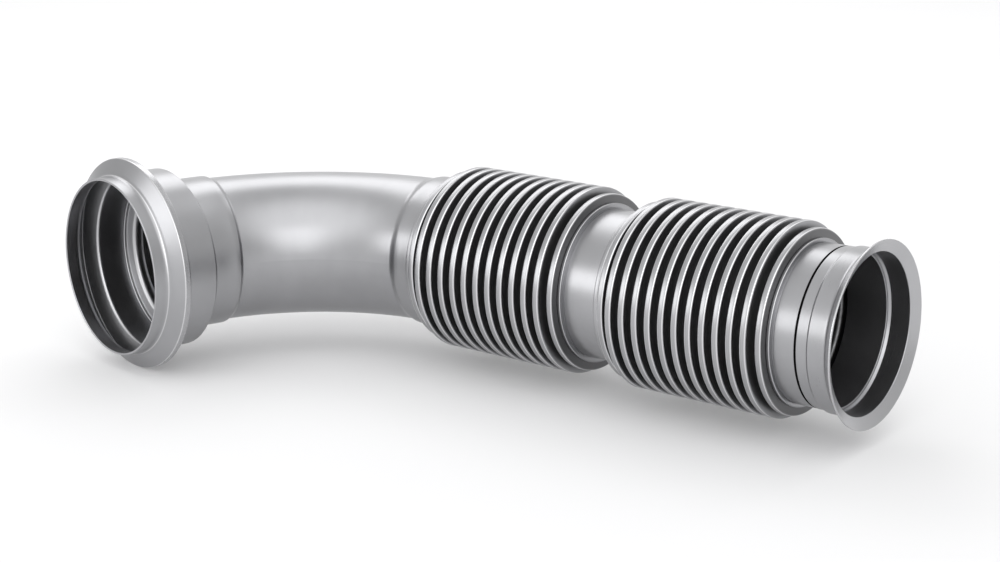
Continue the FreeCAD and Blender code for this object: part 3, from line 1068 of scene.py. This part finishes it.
def satin_steel(
    name,
    place_of,
    roughness,
    worn_above=NOWHERE,
    shaded_below=0.0,
    spread=MM,
    flank_shade=0.0,
    inner_shade_band=(NOWHERE, MM),
    crevice=(NOWHERE, MM),
    shaded_spans=None,
    highlight_bands=(),
    highlight_shoulders=(0.0, NOWHERE),
):
    """Satin stainless steel with lathe lines, clouds and bright wear, with painted highlights on edges
    and shoulders, painted shade in folds and hollows, and painted shade in a crevice. Where shaded
    spans are given, the painted shade stays inside them."""
    material = bpy.data.materials.new(name)
    material.use_nodes = True
    tree = material.node_tree
    shader = tree.nodes["Principled BSDF"]
    shader.inputs["Metallic"].default_value = 1
    place, normal = place_of(tree)
    groups = {}
    for key, source in (
        ("lines", lines_tree),
        ("clouds", clouds_tree),
        ("wear_and_shade", wear_and_shade_tree),
        ("facing", facing_tree),
        ("band", crevice_tree),
        ("crevice", crevice_tree),
    ):
        groups[key] = add_node(tree, "ShaderNodeGroup", node_tree=source)
        tree.links.new(place, groups[key].inputs["Place"])
    lines = groups["lines"].outputs["Lines"]
    clouds = groups["clouds"].outputs["Clouds"]
    tree.links.new(normal, groups["facing"].inputs["Normal"])
    tree.links.new(groups["lines"].outputs["Radius"], groups["wear_and_shade"].inputs["Radius"])
    groups["wear_and_shade"].inputs["Worn Above"].default_value = worn_above
    groups["wear_and_shade"].inputs["Shaded Below"].default_value = shaded_below
    groups["wear_and_shade"].inputs["Spread"].default_value = spread
    worn, painted_shade, gap_shade = masked(tree, groups, inner_shade_band, crevice, flank_shade)
    if shaded_spans:
        painted_shade = math_node(tree, "MULTIPLY", painted_shade, between(tree, place, shaded_spans))
    # Painted highlights on edges, bands and the shoulders of folds and rings.
    painted_highlight = painted_highlight_mask(tree, place, groups, highlight_bands, highlight_shoulders)

    dark, light = [tuple(part * shade for part in STEEL_TINT) for shade in CLOUD_SHADES]
    color = mixed(tree, clouds, dark, light)
    # Painted shade is mixed in first, then real wear, then painted highlights and painted gap shade.
    color = mixed(tree, math_node(tree, "MULTIPLY", painted_shade, PAINTED_SHADE_COVER), color, PAINTED_SHADE_TINT)
    color = mixed(tree, math_node(tree, "MULTIPLY", worn, WEAR_COVER), color, BARE_TINT)
    color = mixed(tree, painted_highlight, color, HIGHLIGHT_TINT)
    color = mixed(tree, gap_shade, color, GAP_SHADE_TINT)
    tree.links.new(color, shader.inputs["Base Color"])

    rough = ramp(tree, lines, *NOISE_RANGE, roughness - LINE_ROUGHNESS, roughness + LINE_ROUGHNESS)
    for mask, change in ((clouds, 0.02), (painted_shade, 0.15), (worn, -0.05), (gap_shade, 0.3)):
        rough = math_node(tree, "ADD", rough, math_node(tree, "MULTIPLY", mask, change))
    tree.links.new(rough, shader.inputs["Roughness"])

    grain = math_node(tree, "MULTIPLY", groups["clouds"].outputs["Specks"], SPECK_SHARE)
    bump = add_node(tree, "ShaderNodeBump")
    bump.inputs["Strength"].default_value = BUMP_STRENGTH
    bump.inputs["Distance"].default_value = LINE_HEIGHT
    tree.links.new(math_node(tree, "ADD", lines, grain), bump.inputs["Height"])
    tree.links.new(bump.outputs["Normal"], shader.inputs["Normal"])
    return material


# %% Straight leg finishes
GAP_MARGIN = 0.45 * MM
FLARE_FOOT = 1.5 * MM

gap_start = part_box("outlet_sleeve")[1].x
gap_middle = (gap_start + flange_low.x) / 2
# The gap crevice gets painted shade: near black steel in the gap between sleeve and flange.
gap_crevice = (gap_middle, (flange_low.x - gap_start) / 2 + GAP_MARGIN)
tube_steel = satin_steel("tube_steel", straight_place, 0.3, crevice=gap_crevice)
flare_middle = (flange_low.x + BODY_LENGTH + FLARE_FOOT + flange_high.x) / 2
# The outlet flange gets painted highlights over its flare and inside its dished rim.
outlet_flange_steel = satin_steel(
    "outlet_flange_steel",
    straight_place,
    0.29,
    worn_above=74.6 * MM,
    spread=0.8 * MM,
    crevice=gap_crevice,
    highlight_bands=(
        (flare_middle, flange_high.x - flare_middle, 0.3, "outer"),
        (flange_high.x - 2.4 * MM, 3.2 * MM, 0.14, "inner"),
    ),
)
# The bellows get painted shade on their deep flanks and roots, only within the folds, and painted
# highlights on the fold shoulders.
bellows_steel = satin_steel(
    "bellows_steel",
    rest_place,
    0.3,
    worn_above=79.2 * MM,
    shaded_below=70.0 * MM,
    spread=5.0 * MM,
    flank_shade=0.9,
    shaded_spans=((first_foot, first_foot + FOLD_RUN), (second_foot, second_foot + FOLD_RUN)),
    highlight_shoulders=(0.8, 72 * MM),
)
# The collars get painted highlights on their shoulders.
collar_steel = satin_steel("collar_steel", straight_place, 0.29, highlight_shoulders=(0.35, 60 * MM))
print("gap between sleeve and flange at", round(gap_middle, 4))

# %% Inlet finishes
elbow_steel = satin_steel("elbow_steel", bend_place, 0.32)
# The cup gets painted highlights at its front edge and on its inside just behind it.
cup_steel = satin_steel(
    "cup_steel",
    inlet_place,
    0.3,
    worn_above=75.8 * MM,
    highlight_bands=((CUP_START, 0.5 * MM, 0.7, "inner"), (CUP_START + 4 * MM, 5 * MM, 0.25, "inner")),
)
# The inlet flange gets painted shade in a band inside its hollow ridge, and painted highlight lines at
# the lip foot, the ridge's front edge and the inner bend.
inlet_flange_steel = satin_steel(
    "inlet_flange_steel",
    inlet_place,
    0.3,
    worn_above=91.6 * MM,
    inner_shade_band=(26 * MM, 6 * MM),
    highlight_bands=(
        (12.0 * MM, 0.45 * MM, 0.5, "outer"),
        (20.4 * MM, 0.5 * MM, 0.55, "outer"),
        (32.2 * MM, 0.7 * MM, 0.35, "inner"),
    ),
)
print(len(bpy.data.materials), "materials")

# %% [markdown]
# ## Dressing
# Each piece gets its finish by its name, and so do the elbow and the centre tube, which are shown as
# the CAD model has them. A finish could also be given where a piece is made, but here one short list
# shows them all, and what it doesn't name gets the plain tube finish.

# %% Dressing
FINISH_OF = {
    "bellows_1_folds": bellows_steel,
    "bellows_2_folds": bellows_steel,
    "inlet_flange_sheet": inlet_flange_steel,
    "inlet_reducer_cup": cup_steel,
    "outlet_flange_body": outlet_flange_steel,
    "elbow_tube": elbow_steel,
}

for piece in list(bpy.data.objects):
    if piece.type != "MESH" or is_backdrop(piece):
        continue
    finish = collar_steel if "collar" in piece.name else FINISH_OF.get(piece.name, tube_steel)
    piece.data.materials.clear()
    piece.data.materials.append(finish)
    if piece.name not in nodes:
        print(piece.name, "has", finish.name)

# %% [markdown]
# ## View
# The render uses Blender's Standard view transform.

bpy.context.scene.view_settings.view_transform = "Standard"
